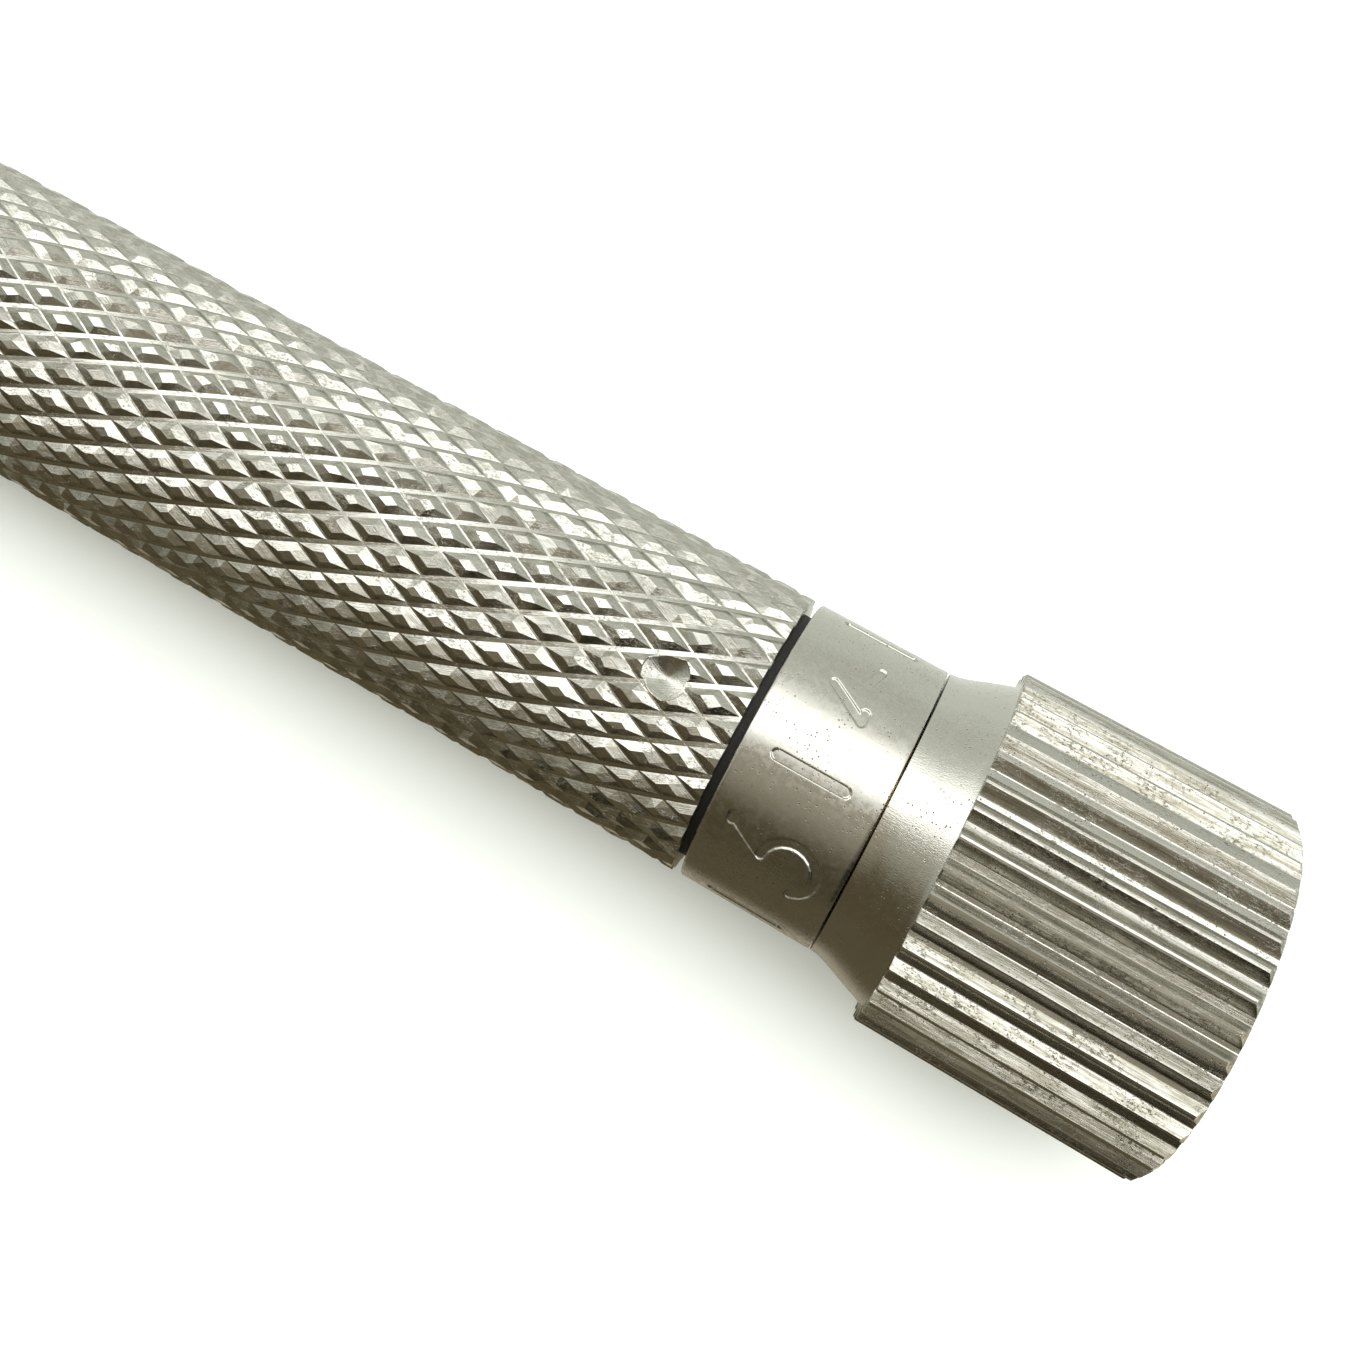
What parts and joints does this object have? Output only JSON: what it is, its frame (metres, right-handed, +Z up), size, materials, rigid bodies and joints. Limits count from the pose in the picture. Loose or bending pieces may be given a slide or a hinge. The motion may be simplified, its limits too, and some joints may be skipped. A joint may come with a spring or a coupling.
{
  "type": "lead holder",
  "caption": "Twist-action 2 mm lead holder with a diamond-knurled metal barrel, a numbered setting dial and a fluted knob.",
  "frame": {"origin": "on the holder's axis, in the middle of the knurled grip", "axes": "+X along the axis from the nose to the knob, +Z up through the index dimple"},
  "size_m": [0.1459, 0.011, 0.011],
  "materials": {
    "knurled_nickel": "worn nickel plate, diamond knurled",
    "nose_nickel": "satin nickel plate",
    "collar_nickel": "satin nickel plate",
    "hard_steel": "ground hardened steel",
    "spring_steel": "tempered steel",
    "brass": "turned brass",
    "spring_wire": "drawn spring wire",
    "black_washer": "black fibre washer",
    "dial_nickel": "satin nickel plate, engraved",
    "knob_nickel": "worn nickel plate, fluted",
    "cap_nickel": "satin nickel plate",
    "graphite": "polymer-bound graphite"
  },
  "bodies": {
    "holder": {"barrel": "knurled_nickel", "nose_cone": "nose_nickel", "clutch_ring": "hard_steel", "front_collar": "collar_nickel", "guide_bush": "brass", "key_pin": "hard_steel", "spring_seat": "hard_steel", "return_spring": "spring_wire", "nut_washer": "hard_steel", "rear_bush": "brass", "thrust_washer": "black_washer"},
    "carriage": {"jaw_socket": "brass", "lead_tube": "brass", "spring_collar": "brass", "drive_screw": "brass"},
    "jaw_1": {"jaw_1": "spring_steel"},
    "jaw_2": {"jaw_2": "spring_steel"},
    "jaw_3": {"jaw_3": "spring_steel"},
    "lead": {"lead": "graphite"},
    "dial": {"dial_ring": "dial_nickel", "friction_washer": "black_washer"},
    "knob": {"knob": "knob_nickel", "drive_nut": "hard_steel", "lock_nut": "hard_steel", "end_cap": "cap_nickel"}
  },
  "joints": [
    {"name": "knob_turn", "type": "hinge", "parent": "holder", "child": "knob", "pos_m": [0.0565, 0, 0], "axis": [1, 0, 0], "range_deg": [0, 180.01]},
    {"name": "carriage_slide", "type": "slide", "parent": "holder", "child": "carriage", "axis": [-1, 0, 0], "range_m": [0, 0.0015], "deforming": ["return_spring"]},
    {"name": "dial_turn", "type": "hinge", "parent": "holder", "child": "dial", "pos_m": [0.0538, 0, 0], "axis": [1, 0, 0], "continuous": true},
    {"name": "lead_slide", "type": "slide", "parent": "carriage", "child": "lead", "axis": [-1, 0, 0], "range_m": [-0.006, 0.02]},
    {"name": "jaw_1_open", "type": "hinge", "parent": "carriage", "child": "jaw_1", "pos_m": [-0.0635, 0, 0.0015], "axis": [0, 1, 0], "range_deg": [0, 1.1]},
    {"name": "jaw_2_open", "type": "hinge", "parent": "carriage", "child": "jaw_2", "pos_m": [-0.0635, -0.0013, -0.00075], "axis": [0, -0.5, 0.866], "range_deg": [0, 1.1]},
    {"name": "jaw_3_open", "type": "hinge", "parent": "carriage", "child": "jaw_3", "pos_m": [-0.0635, 0.0013, -0.00075], "axis": [0, -0.5, -0.866], "range_deg": [0, 1.1]}
  ],
  "couplings": [
    {"joint": "knob_turn", "follows": "carriage_slide", "rad_per_m": 2094.4},
    {"joint": "jaw_1_open", "follows": "carriage_slide", "rad_per_m": 12.799},
    {"joint": "jaw_2_open", "follows": "carriage_slide", "rad_per_m": 12.799},
    {"joint": "jaw_3_open", "follows": "carriage_slide", "rad_per_m": 12.799}
  ]
}
